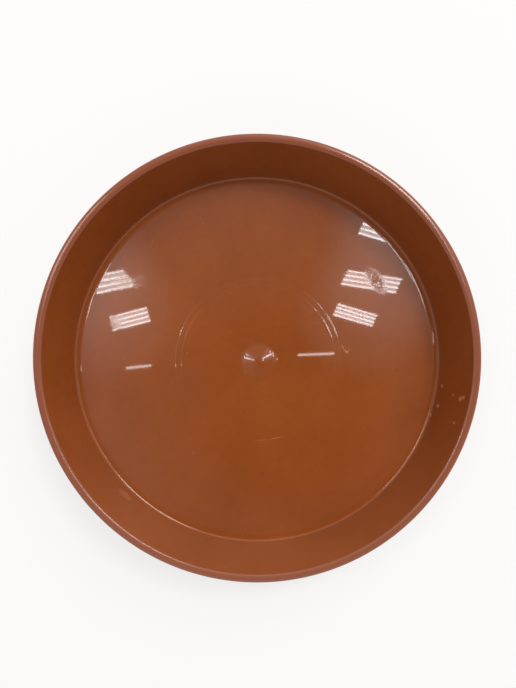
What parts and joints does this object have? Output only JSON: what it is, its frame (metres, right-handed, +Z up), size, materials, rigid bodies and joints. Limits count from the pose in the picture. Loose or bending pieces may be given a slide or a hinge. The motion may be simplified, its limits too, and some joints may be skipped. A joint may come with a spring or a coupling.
{
  "type": "plant saucer",
  "caption": "Round, shallow moulded plastic saucer with a leaning wall, a rounded lip and a foot ring, set under a plant pot to catch water.",
  "frame": {"origin": "on the saucer's axis, in the plane that the foot ring stands on", "axes": "+Z up along the saucer's axis, out of its open top; +X and +Y level, at any turn because the saucer is round"},
  "size_m": [0.305, 0.305, 0.045],
  "materials": {
    "terracotta_polypropylene": "terracotta-brown polypropylene, polished on the floor and satin on the wall and lip, lightly scuffed"
  },
  "bodies": {
    "root": {"saucer": "terracotta_polypropylene"}
  },
  "joints": []
}
